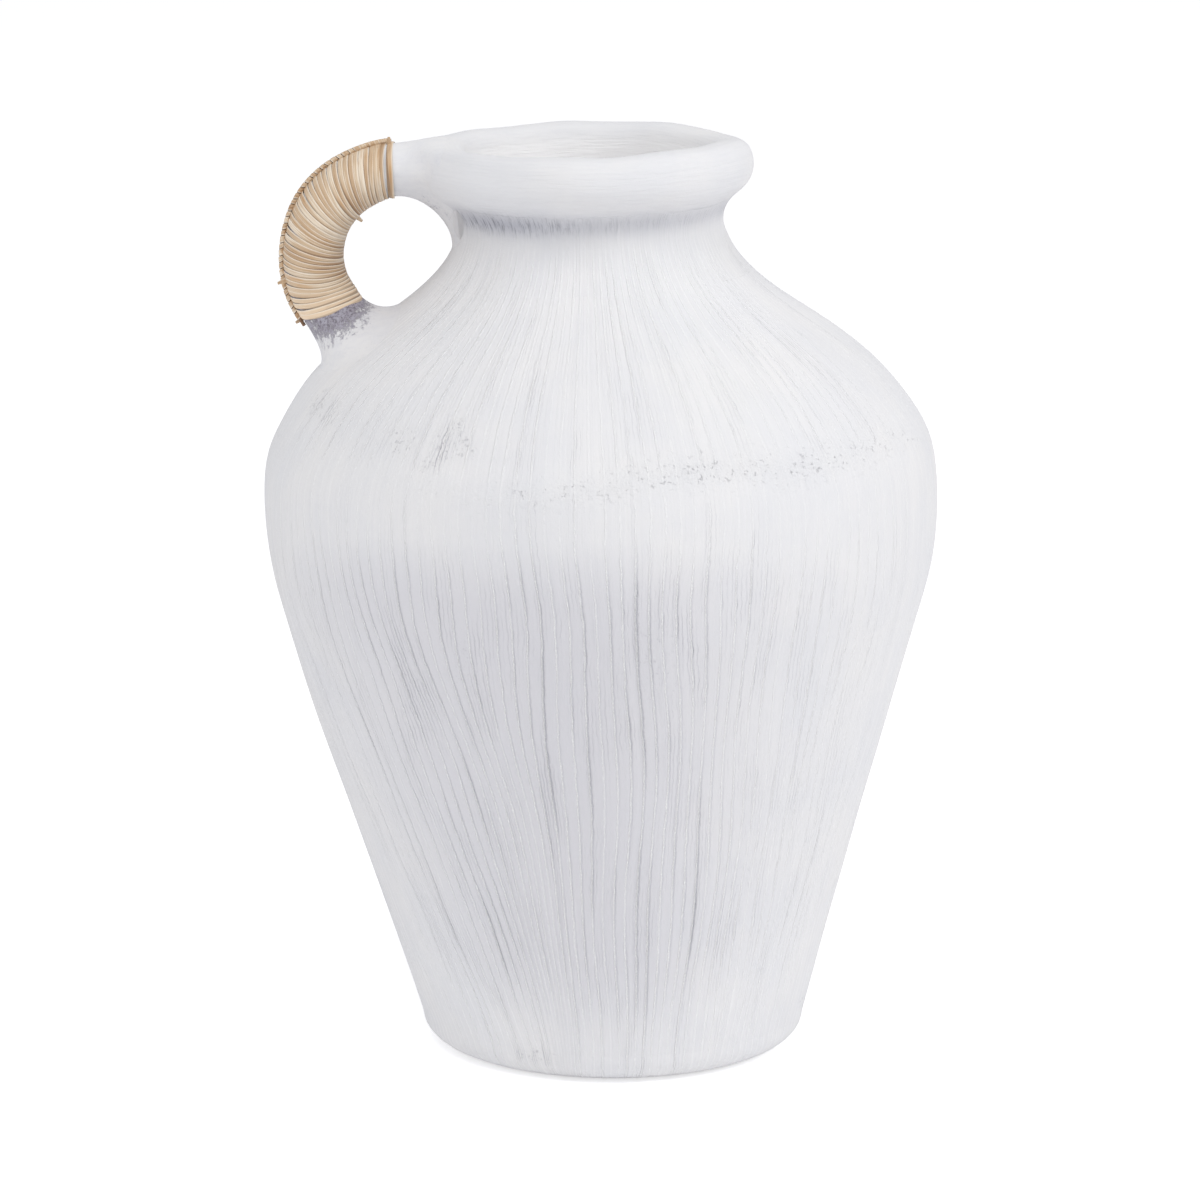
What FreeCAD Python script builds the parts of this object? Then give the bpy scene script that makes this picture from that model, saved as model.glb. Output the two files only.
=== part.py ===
"""A whitewashed terracotta jug vase with a loop handle bound in split cane.

Millimetres, +Z up. The origin is on the ground under the middle of the belly, the handle on the -X side.
The vessel is a slab foot, a wall raised on it, a shoulder luted to the wall at the seam, a neck and a thick
rim, and a bent clay roll for the handle, with a clay collar at each of its roots. The cane is three strands
wound round the roll one after the other, locked by small hitches along a spine of cane on its outer side.
"""

import FreeCAD, Part
import math
import os

V = FreeCAD.Vector
UP = V(0, 0, 1)
SIDE = V(0, 1, 0)

# Foot slab
foot_flat_radius = 72.0
foot_ledge = 0.6
foot_slab_height = 14.0
foot_round_out_share = 0.66
foot_round_up_share = 0.33

# Wall and belly
wall = 9.0
wall_foot_radius = 86.8
belly_radius = 150.0
belly_over_slab = 233.0
belly_turn_drop = 25.0
seam_over_belly = 33.0

# Shoulder and neck
neck_radius = 59.0
neck_over_belly = 124.0
neck_joint_under_neck = 20.0
neck_wall = 9.0
neck_bore_under_neck = 9.0
# Each pair is a share of the rise from belly to neck, and a share of the radius from neck to belly.
shoulder_shares = [
    (0.12, 0.996),
    (0.22, 0.972),
    (0.35, 0.874),
    (0.485, 0.718),
    (0.616, 0.508),
    (0.748, 0.262),
    (0.83, 0.138),
    (0.91, 0.052),
]
inner_shoulder_count = 6

# Rim
rim_overhang = 14.4
rim_over_neck = 39.0
rim_joint_over_neck = 13.0
mouth_flare = 4.0
mouth_round = 5.0
lip_round = 2.5
# Each pair is a share of the rise from neck to lip, and a share of the radius from neck to rim.
rim_shares = [(0.197, 0.08), (0.356, 0.395), (0.513, 0.864), (0.667, 1.0), (0.828, 0.966)]
lip_share = 0.86

# The lean towards the handle: of the foot and the wall, and of all that was luted on over the seam
wall_lean_deg = 1.4
upper_lean_deg = 1.9

# Handle roll
handle_half_height = 12.1
handle_half_depth = 13.6
handle_bend_radius = 36.3
handle_sweep_deg = 120.4
handle_over_rim = 0.9
handle_clear_of_rim = 13.2
root_sink = 5.0

# Clay collars at the handle's roots
collar_edge = 0.4
lower_collar_height = 12.0
lower_collar_length = 30.0
lower_collar_flare = 16.0
# Each pair is a share of the collar's length into the vessel, and a share of its flare.
lower_collar_shares = [(0.0, 0.0), (0.25, 0.12), (0.45, 0.36), (0.7, 0.74), (1.0, 1.0)]
upper_collar_from_bend = 1.5
upper_collar_length = 31.0
upper_collar_drop = 28.0
upper_collar_spread = 8.0
upper_collar_fall = 4.0
# Each pair is a share of the collar's length towards the neck, and a share of its drop, spread and fall.
upper_collar_shares = [(0.0, 0.0), (0.31, 0.025), (0.49, 0.13), (0.66, 0.3), (0.76, 0.55), (1.0, 1.0)]

# Cane binding, with counts and shares of its turns from the top
cane_thickness = 0.8
cane_seat = 0.3
turn_count = 39
half_turn_share = 0.5
upper_splice_count = 11.5
lower_splice_count = 32.035
end_turn_share = 0.035
binding_start = 0.8
bare_leg = 18.0
slant_most = 7.0
slant_at_end_share = 0.7
slant_full_count = 9.0
slant_falls_count = 30.0

# Spine of cane and the hitches round it
spine_radius = 0.6
hitch_thickness = 0.5
hitch_seat = 0.1
spine_overhang = 2.0

# Cut ends of cane that stand out at the splices
tail_thickness = 1.0
tail_root_width = 1.1
tail_tip_width = 0.5
tail_length = 5.0
tail_seat = 0.1

# Overrun of cuts, a full turn, and how closely paths are read and checked
overrun = 10.0
full_turn_deg = 360.0
small_turn_share = 0.0005
sample_count = 48

slab_top = foot_slab_height
belly_height = slab_top + belly_over_slab
seam_height = belly_height + seam_over_belly
neck_height = belly_height + neck_over_belly
neck_joint = neck_height - neck_joint_under_neck
rim_joint = neck_height + rim_joint_over_neck
rim_height = neck_height + rim_over_neck
foot_edge_radius = wall_foot_radius + foot_ledge
neck_bore_radius = neck_radius - neck_wall
rim_radius = neck_radius + rim_overhang
mouth_radius = neck_bore_radius + mouth_flare
# The wall's straight line would reach the belly's radius at a drop under the belly, and turns in an arc there.
wall_flare = math.atan((belly_radius - wall_foot_radius) / (belly_over_slab - belly_turn_drop))
foot_offset = belly_over_slab * math.tan(math.radians(wall_lean_deg))


def at(radius, height):
    """A point of an outline, in the plane of X and Z."""
    return V(radius, 0, height)


def leaned(shape, lean_deg):
    """The shape as the finished vessel carries it, leaning about the middle of the belly."""
    tilted = shape.copy()
    tilted.rotate(V(0, 0, belly_height), SIDE, -lean_deg)
    return tilted


def turned(edges):
    """A solid of revolution about Z, from a closed outline."""
    face = Part.Face(Part.Wire(Part.__sortEdges__(edges)))
    return face.revolve(V(0, 0, 0), UP, full_turn_deg)


def biggest(shape):
    """The largest solid of a result, without slivers."""
    return max(shape.Solids, key=lambda solid: solid.Volume)


def flare_line_radius(inset):
    """The radius at the slab's top of the wall's straight line, moved in by inset along its normal."""
    return wall_foot_radius - inset / math.cos(wall_flare)


def belly_arc(inset):
    """The start, middle and end of the arc from the straight wall to the belly, moved in by inset."""
    radius = belly_turn_drop / math.tan(wall_flare / 2)
    centre = belly_radius - radius
    small = radius - inset
    points = []
    for angle in (wall_flare, wall_flare / 2, 0.0):
        points.append(at(centre + small * math.cos(angle), belly_height - small * math.sin(angle)))
    return points


def shoulder_points():
    """The shoulder's outer points, from belly to neck."""
    points = [at(belly_radius, belly_height)]
    for rise, reach in shoulder_shares:
        radius = neck_radius + reach * (belly_radius - neck_radius)
        points.append(at(radius, belly_height + rise * neck_over_belly))
    points.append(at(neck_radius, neck_height))
    return points


def spline(points, start, end):
    """A smooth curve through the points, with its directions at both ends."""
    curve = Part.BSplineCurve()
    curve.interpolate(Points=points, InitialTangent=start, FinalTangent=end)
    return curve


def line(a, b):
    return Part.LineSegment(a, b).toShape()


def outer_edges():
    """The vessel's outer outline, from the slab's top to the lip."""
    start, middle, end = belly_arc(0.0)
    foot = at(wall_foot_radius - overrun * math.tan(wall_flare), slab_top - overrun)
    neck_points = shoulder_points()
    spread = rim_radius - neck_radius
    rim_points = [at(neck_radius, neck_height)]
    for rise, reach in rim_shares:
        rim_points.append(at(neck_radius + reach * spread, neck_height + rise * rim_over_neck))
    lip_radius = neck_radius + lip_share * spread
    rim_points.append(at(lip_radius + lip_round / 2, rim_height - lip_round))
    lip_middle = at(lip_radius, rim_height - lip_round / 4)
    lip_end = at(lip_radius - lip_round, rim_height)
    edges = [
        line(foot, start),
        Part.Arc(start, middle, end).toShape(),
        spline(neck_points, UP, UP).toShape(),
        spline(rim_points, UP, at(-lip_round / 4, lip_round)).toShape(),
        Part.Arc(rim_points[-1], lip_middle, lip_end).toShape(),
    ]
    return edges, foot, lip_end


def inner_edges():
    """The vessel's inner outline, from the slab's top to the mouth."""
    start, middle, end = belly_arc(wall)
    foot = at(flare_line_radius(wall) - overrun * math.tan(wall_flare), slab_top - overrun)
    outer = shoulder_points()
    curve = spline(outer, UP, UP)
    points = [end]
    for point in outer[1 : inner_shoulder_count + 1]:
        along = curve.tangent(curve.parameter(point))[0]
        points.append(point + wall * V(-along.z, 0, along.x))
    bore_foot = at(neck_bore_radius, neck_height - neck_bore_under_neck)
    points.append(bore_foot)
    bore_top = at(neck_bore_radius, rim_joint)
    flare_end = at(mouth_radius, rim_height - mouth_round)
    mouth_end = at(mouth_radius + mouth_round, rim_height)
    corner = mouth_round * (1 - math.cos(math.radians(45)))
    mouth_middle = at(mouth_radius + corner, rim_height - corner)
    edges = [
        line(foot, start),
        Part.Arc(start, middle, end).toShape(),
        spline(points, UP, UP).toShape(),
        line(bore_foot, bore_top),
        line(bore_top, flare_end),
        Part.Arc(flare_end, mouth_middle, mouth_end).toShape(),
    ]
    return edges, foot, mouth_end


def slice_of(shape, low, high):
    """The part of a shape between two heights."""
    reach = belly_radius + overrun
    block = Part.makeBox(2 * reach, 2 * reach, high - low, V(-reach, -reach, low))
    return biggest(shape.common(block))


def foot_slab():
    """The flat slab that the wall is raised on, with its lower edge rubbed round."""
    width = foot_edge_radius - foot_flat_radius
    middle = at(
        foot_flat_radius + foot_round_out_share * width, foot_round_up_share * foot_slab_height
    )
    ground = at(foot_flat_radius, 0)
    edge = at(foot_edge_radius, foot_slab_height)
    slab = turned(
        [
            line(at(0, 0), ground),
            Part.Arc(ground, middle, edge).toShape(),
            line(edge, at(0, foot_slab_height)),
            line(at(0, foot_slab_height), at(0, 0)),
        ]
    )
    slab.translate(V(foot_offset, 0, 0))
    return slab


def vessel_wall():
    """The hollow vessel over the slab, in one piece, before it is parted into what was built."""
    outer, outer_foot, lip_end = outer_edges()
    inner, inner_foot, mouth_end = inner_edges()
    return turned(outer + inner + [line(outer_foot, inner_foot), line(lip_end, mouth_end)])


def vessel_bulk():
    """The vessel's outside, filled in: what the handle and its collars are cut back to."""
    outer, outer_foot, lip_end = outer_edges()
    top = at(0, lip_end.z)
    bottom = at(0, outer_foot.z)
    return turned(outer + [line(lip_end, top), line(top, bottom), line(bottom, outer_foot)])


def lower_body(whole):
    """The raised wall, cut level on the slab, and cut at the seam square to what is luted on there."""
    wall_part = leaned(slice_of(whole, slab_top - overrun, seam_height + overrun), wall_lean_deg)
    level_seam = leaned(wall_part, -upper_lean_deg)
    under_seam = slice_of(level_seam, slab_top - 2 * overrun, seam_height)
    return slice_of(leaned(under_seam, upper_lean_deg), slab_top, seam_height + overrun)


bend_centre = at(
    -(rim_radius + handle_clear_of_rim),
    rim_height + handle_over_rim - handle_half_height - handle_bend_radius,
)
bend_length = handle_bend_radius * math.radians(handle_sweep_deg)


def handle_frame(along):
    """The middle of the roll at a length along it from the top of the bend, with the directions out and on."""
    turn = min(max(along, 0.0), bend_length) / handle_bend_radius
    angle = math.radians(90) + turn
    out = V(math.cos(angle), 0, math.sin(angle))
    on = V(-math.sin(angle), 0, math.cos(angle))
    straight = along - turn * handle_bend_radius
    return bend_centre + handle_bend_radius * out + straight * on, out, on


def ellipse_wire(centre, across, half_across, half_depth):
    """An ellipse round centre: half_across along the direction across, half_depth along Y."""
    if half_across > half_depth:
        edge = Part.Ellipse(centre + half_across * across, centre + half_depth * SIDE, centre)
    else:
        edge = Part.Ellipse(centre + half_depth * SIDE, centre + half_across * across, centre)
    return Part.Wire(edge.toShape())


def leg_entry():
    """The length from the bend to where the middle of the handle's leg enters the shoulder."""
    start, out, on = handle_frame(bend_length)
    inside = Part.makeLine(start, start + belly_radius * on).common(vessel_bulk())
    return min(vertex.Point.distanceToPoint(start) for vertex in inside.Vertexes)


leg_length = leg_entry()
binding_length = bend_length + leg_length - bare_leg - binding_start


def handle_roll(bulk):
    """The bent roll of clay, from the rim over and down to the shoulder."""
    leg = leg_length + handle_half_height + root_sink
    first = at(-rim_radius + root_sink, bend_centre.z + handle_bend_radius)
    top, out, on = handle_frame(0.0)
    middle = handle_frame(bend_length / 2)[0]
    end = handle_frame(bend_length)[0]
    last = handle_frame(bend_length + leg)[0]
    path = Part.Wire([line(first, top), Part.Arc(top, middle, end).toShape(), line(end, last)])
    section = ellipse_wire(first, UP, handle_half_height, handle_half_depth)
    roll = path.makePipeShell([section], True, False)
    return biggest(roll.cut(bulk))


def lower_collar(bulk, roll):
    """The flared collar that lutes the leg to the shoulder."""
    rings = []
    start = bend_length + leg_length - lower_collar_height
    for length_share, flare_share in lower_collar_shares:
        middle, out, on = handle_frame(start + length_share * lower_collar_length)
        swell = collar_edge + flare_share * lower_collar_flare
        rings.append(ellipse_wire(middle, out, handle_half_height + swell, handle_half_depth + swell))
    collar = Part.makeLoft(rings, True, False)
    return biggest(collar.cut(bulk).cut(roll))


def upper_collar(bulk, roll):
    """The web that carries the roll into the rim and down the side of the neck."""
    rings = []
    top = bend_centre.z + handle_bend_radius + handle_half_height + collar_edge
    for length_share, spread_share in upper_collar_shares:
        reach = upper_collar_from_bend + length_share * upper_collar_length
        half = handle_half_height + collar_edge + spread_share * upper_collar_drop / 2
        depth = handle_half_depth + collar_edge + spread_share * upper_collar_spread
        middle = at(bend_centre.x + reach, top - half - spread_share * upper_collar_fall)
        rings.append(ellipse_wire(middle, UP, half, depth))
    collar = Part.makeLoft(rings, True, False)
    return biggest(collar.cut(bulk).cut(roll))


def slant(turn):
    """How far on the inner side of a turn lies beyond its outer side, along the roll."""
    if turn < slant_full_count:
        share = math.sin(math.pi / 2 * max(turn, 0.0) / slant_full_count)
    elif turn < slant_falls_count:
        share = 1.0
    else:
        fall = (turn - slant_falls_count) / (turn_count - slant_falls_count)
        share = 1.0 - (1.0 - slant_at_end_share) * fall
    return slant_most * share


def binding_place(turn):
    """The length along the roll of the middle of a turn."""
    return binding_start + binding_length * turn / turn_count


def binding_point(turn):
    """The middle of the cane, where it has made this many turns from the spine."""
    angle = math.radians(full_turn_deg) * turn
    along = binding_place(turn) - slant(turn) / 2 * math.cos(angle)
    middle, out, on = handle_frame(along)
    rise = cane_seat + cane_thickness / 2
    across = (handle_half_height + rise) * math.cos(angle)
    depth = (handle_half_depth + rise) * math.sin(angle)
    return middle + across * out - depth * SIDE


def heading(path, turn):
    """The direction of a path at a turn."""
    step = path(turn + small_turn_share) - path(turn - small_turn_share)
    return step.normalize()


def arc_through(start, corner, end):
    """The arc from start to end that is tangent to both legs of the corner."""
    middle = (start + end) * 0.5
    half_chord = start.distanceToPoint(end) / 2
    height = corner.distanceToPoint(middle)
    swing = math.atan2(height, half_chord)
    share = math.tan(swing / 2) / math.tan(swing)
    return Part.Arc(start, middle + (corner - middle) * share, end).toShape()


def biarc(start, start_way, end, end_way):
    """Two arcs that meet smoothly, from one point and direction to another."""
    chord = end - start
    ways = start_way + end_way
    square = 4 - ways.dot(ways)
    linear = 2 * chord.dot(ways)
    reach = (-linear + math.sqrt(linear * linear + 4 * square * chord.dot(chord))) / (2 * square)
    first = start + start_way * reach
    second = end - end_way * reach
    meet = (first + second) * 0.5
    return [arc_through(start, first, meet), arc_through(meet, second, end)]


def tube_along(path, from_turn, to_turn, radius, gap_start, gap_end):
    """An unbroken tube on a winding path, in biarcs of a quarter turn, straight for a diameter at both ends."""
    way_in = heading(path, from_turn)
    way_out = heading(path, to_turn)
    first = path(from_turn) + way_in * gap_start
    last = path(to_turn) - way_out * gap_end
    places = [(first + way_in * 2 * radius, way_in)]
    quarter = math.ceil(from_turn * 4 + 0.5)
    while quarter < to_turn * 4 - 0.5:
        turn = quarter / 4
        places.append((path(turn), heading(path, turn)))
        quarter += 1
    places.append((last - way_out * 2 * radius, way_out))
    edges = [line(first, places[0][0])]
    for (a, a_way), (b, b_way) in zip(places, places[1:]):
        edges += biarc(a, a_way, b, b_way)
    edges.append(line(places[-1][0], last))
    wire = Part.Wire(edges)
    section = Part.Wire(Part.Circle(first, way_in, radius).toShape())
    tube = wire.makePipeShell([section], True, False)
    report_tube(path, from_turn, to_turn, radius, wire, tube)
    return tube


def report_tube(path, from_turn, to_turn, radius, wire, tube):
    """Prints a tube's least gap to itself, and its volume against section times length."""
    count = int((to_turn - from_turn) * sample_count)
    points = [path(from_turn + (to_turn - from_turn) * k / count) for k in range(count + 1)]
    least = min(
        points[i].distanceToPoint(points[j])
        for i in range(count)
        for j in range(i + sample_count // 2, min(count, i + 2 * sample_count))
    )
    share = tube.Volume / (math.pi * radius * radius * wire.Length)
    print(
        f"tube: {to_turn - from_turn:.2f} turns, length {wire.Length:.0f}, "
        f"least gap {least - 2 * radius:.2f}, volume share {share:.4f}, valid {tube.isValid()}"
    )


def cane_strand(from_turn, to_turn):
    """One strand of the binding, between two cut ends."""
    half = tail_thickness / 2
    return tube_along(binding_point, from_turn, to_turn, cane_thickness / 2, half, half)


spine_rise = cane_seat + cane_thickness + hitch_seat + hitch_thickness + hitch_seat + spine_radius


def spine_point(turn, rise):
    """A point over the outer side of the roll, level with the spine's middle plus rise."""
    middle, out, on = handle_frame(binding_place(turn) - slant(turn) / 2)
    return middle + (handle_half_height + spine_rise + rise) * out


def spine_cane():
    """The cane that lies along the outer side of the handle, over the turns."""
    first = binding_place(0) - spine_overhang
    last = binding_place(turn_count) - slant(turn_count) / 2 + spine_overhang
    reach = handle_half_height + spine_rise
    places = []
    for along in (first, 0.0, bend_length / 2, bend_length, last):
        middle, out, on = handle_frame(along)
        places.append((middle + reach * out, on))
    edges = [line(places[0][0], places[1][0])] if first < 0 else []
    start = places[1][0]
    if first >= 0:
        start = places[0][0]
    edges.append(Part.Arc(start, places[2][0], places[3][0]).toShape())
    edges.append(line(places[3][0], places[4][0]))
    wire = Part.Wire(edges)
    beginning = edges[0].firstVertex().Point if first >= 0 else places[0][0]
    section = Part.Wire(Part.Circle(beginning, places[0][1], spine_radius).toShape())
    return wire.makePipeShell([section], True, False)


def hitch_point(turn):
    """The middle of the hitching cane, which curls once round the spine for each turn."""
    angle = math.radians(full_turn_deg) * turn
    around = spine_radius + hitch_seat + hitch_thickness / 2
    return spine_point(turn, around * math.cos(angle)) + around * math.sin(angle) * SIDE


def hitches(from_turn, to_turn):
    return tube_along(hitch_point, from_turn, to_turn, hitch_thickness / 2, 0.0, 0.0)


def cane_tail(turn):
    """A cut end of cane that stands out of the binding, with its flanks square to the strands it joins."""
    place = binding_point(turn)
    around = heading(binding_point, turn)
    angle = math.radians(full_turn_deg) * turn
    middle, out, on = handle_frame(binding_place(turn) - slant(turn) / 2 * math.cos(angle))
    radial = (math.cos(angle) * out - math.sin(angle) * SIDE).normalize()
    radial = (radial - around * radial.dot(around)).normalize()
    wide = around.cross(radial)
    root = place - radial * (cane_thickness / 2 + cane_seat - tail_seat) - around * (tail_thickness / 2)
    tip = root + radial * tail_length
    corners = [
        root - wide * (tail_root_width / 2),
        root + wide * (tail_root_width / 2),
        tip + wide * (tail_tip_width / 2),
        tip - wide * (tail_tip_width / 2),
    ]
    face = Part.Face(Part.makePolygon(corners + corners[:1]))
    return face.extrude(around * tail_thickness)


def report_node(name, shape):
    """Prints whether a node is sound, and where it lies."""
    box = shape.BoundBox
    print(
        f"{name}: valid {shape.isValid()}, solids {len(shape.Solids)}, volume {shape.Volume:.0f}, "
        f"x {box.XMin:.1f} {box.XMax:.1f}, y {box.YMin:.1f} {box.YMax:.1f}, z {box.ZMin:.1f} {box.ZMax:.1f}"
    )


def main():
    os.makedirs("parts", exist_ok=True)
    whole = vessel_wall()
    bulk = vessel_bulk()
    roll = handle_roll(bulk)
    upper_end = end_turn_share
    lower_end = turn_count - end_turn_share
    in_vessel_frame = {
        "shoulder": slice_of(whole, seam_height, neck_joint),
        "neck": slice_of(whole, neck_joint, rim_joint),
        "rim": slice_of(whole, rim_joint, rim_height + overrun),
        "handle_roll": roll,
        "upper_handle_collar": upper_collar(bulk, roll),
        "lower_handle_collar": lower_collar(bulk, roll),
        "cane_strand_upper": cane_strand(upper_end, upper_splice_count),
        "cane_strand_middle": cane_strand(upper_splice_count, lower_splice_count),
        "cane_strand_lower": cane_strand(lower_splice_count, lower_end),
        "cane_spine": spine_cane(),
        "spine_hitches": Part.makeCompound(
            [
                hitches(half_turn_share, upper_splice_count),
                hitches(upper_splice_count + half_turn_share, lower_splice_count),
                hitches(lower_splice_count + half_turn_share, turn_count - half_turn_share),
            ]
        ),
        "cane_tail_top": cane_tail(upper_end),
        "cane_tail_inner": cane_tail(upper_splice_count),
        "cane_tail_side": cane_tail(lower_splice_count),
        "cane_tail_low": cane_tail(lower_end),
    }
    nodes = {name: leaned(shape, upper_lean_deg) for name, shape in in_vessel_frame.items()}
    nodes["lower_body"] = lower_body(whole)
    nodes["foot_slab"] = foot_slab()
    for name, shape in nodes.items():
        shape.exportStep(f"parts/{name}.step")
        report_node(name, shape)


main()
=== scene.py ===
import bpy
import numpy as np
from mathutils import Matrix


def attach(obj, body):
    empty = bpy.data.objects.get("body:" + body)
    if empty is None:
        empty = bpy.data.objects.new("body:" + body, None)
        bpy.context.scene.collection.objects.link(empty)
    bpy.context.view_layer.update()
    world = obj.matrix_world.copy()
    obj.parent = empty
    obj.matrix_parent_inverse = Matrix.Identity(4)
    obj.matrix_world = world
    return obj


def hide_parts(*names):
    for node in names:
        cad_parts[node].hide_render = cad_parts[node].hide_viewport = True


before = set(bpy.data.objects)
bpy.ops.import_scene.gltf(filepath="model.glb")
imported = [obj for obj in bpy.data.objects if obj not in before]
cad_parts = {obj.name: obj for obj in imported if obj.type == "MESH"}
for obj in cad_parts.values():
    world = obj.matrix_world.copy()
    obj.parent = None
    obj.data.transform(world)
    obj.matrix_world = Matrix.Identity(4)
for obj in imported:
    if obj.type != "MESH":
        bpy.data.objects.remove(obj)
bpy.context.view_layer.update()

# ---- The wall -------------------------------------------------------------------------------------------
# Earthenware raised by hand on a slab, combed upwards while leather-hard, and brushed with whitewash when
# fired. It carries the shoulder, which is luted on at a rough seam, and leans a little towards the handle.

MM = 0.001
belly_height = 247.0
seam_height = 280.0
neck_joint = 351.0
neck_top = 372.0
rim_joint = 384.0
slab_top = 14.0
wall_lean = np.radians(1.4)
upper_lean = np.radians(1.9)
groove_count = 144
groove_depth = 0.2
shuffle = np.random.default_rng(7)

# The outline from the slab to the neck: heights, and the radius at each.
outline_heights = [14, 60, 110, 160, 190, 203, 215, 231, 247, 262, 274, 290, 307, 323, 340, 350, 360, 371]
outline_radii = [
    86.8, 100.8, 116.0, 131.2, 140.2, 143.9, 146.9, 149.2, 150, 149.6, 147.5, 138.7, 124.4, 105.7, 82.6,
    71.5, 63.6, 59,
]
# The same for the inside, from the slab up to the bore of the neck.
hollow_heights = [14, 60, 110, 160, 203, 225, 247, 260, 271, 285, 301, 316, 333, 346, 355, 362, 372, 384]
hollow_radii = [
    77.4, 91.4, 106.6, 121.8, 134.6, 139, 141, 140.3, 138.8, 131.2, 117.8, 99.8, 77.2, 62, 53.5, 50.4, 50, 50,
]
# The rim: from the neck's joint out and over the lip, and down into the mouth, as radius and height.
rim_outline = [
    (60.1, 378.6), (64.4, 384.9), (70.6, 390.4), (73.3, 396.5), (73.2, 402.5), (71.9, 406.6), (69.6, 409.1),
    (66, 410.2), (61.6, 410.1), (57.9, 409), (55.1, 406.6), (53.3, 403), (52, 398.2), (50.8, 391.6), (50, 384),
]


def smooth_curve(knots, values, places):
    """The natural cubic spline through the values at the knots, read at the places.

    Its second derivatives m solve h0 m0 + 2 (h0 + h1) m1 + h1 m2 = 6 (slope after - slope before), with none
    at either end, and each span is the cubic that has them.
    """
    knots, values = np.asarray(knots, float), np.asarray(values, float)
    span = np.diff(knots)
    slope = np.diff(values, axis=0) / span.reshape(-1, *[1] * (values.ndim - 1))
    system = np.diag(np.r_[1.0, 2 * (span[:-1] + span[1:]), 1.0])
    system += np.diag(np.r_[span[:-1], 0.0], -1) + np.diag(np.r_[0.0, span[1:]], 1)
    load = np.zeros_like(values)
    load[1:-1] = 6 * np.diff(slope, axis=0)
    bend = np.linalg.solve(system, load)
    i = np.clip(np.searchsorted(knots, places) - 1, 0, len(span) - 1)
    shape = (-1, *[1] * (values.ndim - 1))
    h, a = span[i].reshape(shape), (knots[i + 1] - places).reshape(shape)
    b = (places - knots[i]).reshape(shape)
    return (
        (bend[i] * a**3 + bend[i + 1] * b**3) / (6 * h)
        + (values[i] / h - bend[i] * h / 6) * a
        + (values[i + 1] / h - bend[i + 1] * h / 6) * b
    )


def ease(share):
    """0 below 0 and 1 above 1, by 3 s^2 - 2 s^3 between."""
    share = np.clip(share, 0, 1)
    return share * share * (3 - 2 * share)


def swell(place, middle, reach):
    """A smooth hump: 1 at the middle, near 0 from twice the reach on, by exp(-(d / reach)^2)."""
    return np.exp(-(((place - middle) / reach) ** 2))


def lean_over(points):
    """The points as the vessel stands: each height is moved towards the handle as the wall and what is
    luted on it lean, and tilted with them, except near the level foot."""
    x, y, z = points[..., 0], points[..., 1], points[..., 2]
    lean = wall_lean + (upper_lean - wall_lean) * ease((z - 255) / 40)
    level = ease(z / 70)
    return np.stack([x - (z - belly_height) * np.tan(lean), y, z + level * x * np.sin(lean)], -1)


def groove_warp(turn, height):
    """How far round from its start at the belly each comb stroke has moved at a height, in radians.

    Strokes on the left of the front lean right as they go down, and crowd along a V at about -11 degrees;
    over the left they move by a soft ramp (sqrt(u^2 + e^2) - sqrt((u - 1)^2 + e^2) + 1) / 2, and over the
    back they come home again. All strokes wander a little.
    """
    u = (-0.19 - turn) / 0.42
    ramp = (np.sqrt(u**2 + 0.02) - np.sqrt((u - 1) ** 2 + 0.02) + 1) / 2
    home = ease((turn + 3.0) / 1.6)
    down = ease((262 - height) / 300) * 1.15
    wander = (
        0.009 * np.sin(height / 31 + 5 * np.sin(1.7 * turn + 0.4))
        + 0.006 * np.sin(height / 17 + 7 * np.sin(2.1 * turn + 2.0))
        + 0.014 * np.sin(height / 74 + 3 * turn)
    )
    return 0.3 * ramp * home * down + wander * ease((280 - height) / 60)


# Each stroke has its columns of points, three on the flat between and five in the groove: their places as
# shares of a stroke, how far they stand out in depths of the groove, and how much they share the flat's height.
stroke_places = np.array([-0.5, -0.31, -0.15, -0.07, 0.03, 0.1, 0.18, 0.32])
stroke_relief = np.array([0.0, 0.0, 0.12, 0.6, -1.0, -0.4, 0.12, 0.0])
stroke_flat = np.array([1.0, 1.0, 0.8, 0.5, 0.0, 0.3, 0.8, 1.0])
groove_of_column = np.repeat(np.arange(groove_count), len(stroke_places))
groove_turns = groove_of_column + np.tile(stroke_places, groove_count)
columns = -np.pi + 2 * np.pi * (groove_turns + 0.5) / groove_count
groove_force = np.clip(shuffle.normal(0.66, 0.22, groove_count), 0.25, 1.3)
groove_waves = shuffle.uniform(0, 2 * np.pi, (3, groove_count))
flat_heights = shuffle.normal(0, 0.12, groove_count)


def comb_reach(height):
    """How hard the comb bit at each height and column, as a share. It was hardest over the front of the belly
    and faded at the seam and on the right."""
    h, turn = height[:, None], columns[None, :]
    on_wall = (0.3 + 0.7 * ease((268 - h) / 40)) * ease((284 - h) / 12) * (0.45 + 0.55 * ease((h - 10) / 60))
    front = 0.42 + 0.55 * swell(turn, 0.0, 0.5) + 0.42 * swell(turn, -0.68, 0.4)
    on_shoulder = 0.42 * ease((h - 278) / 14) * ease((374 - h) / 18)
    near_handle = 1 - swell(turn, -np.pi / 2, 0.3) * ease((h - 282) / 14)
    return on_wall * front + on_shoulder * near_handle


def stroke_force(height):
    """How deep each column's groove is there for a full reach, as a share: by stroke, and in patches."""
    h, waves = height[:, None], groove_waves[:, groove_of_column]
    patches = 0.82 + 0.2 * np.sin(h / 23 + waves[0]) + 0.14 * np.sin(h / 9.5 + waves[1])
    patches = patches + 0.16 * np.sin(h / 47 + waves[2])
    return np.clip(patches, 0, 1.5) * groove_force[groove_of_column]


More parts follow.
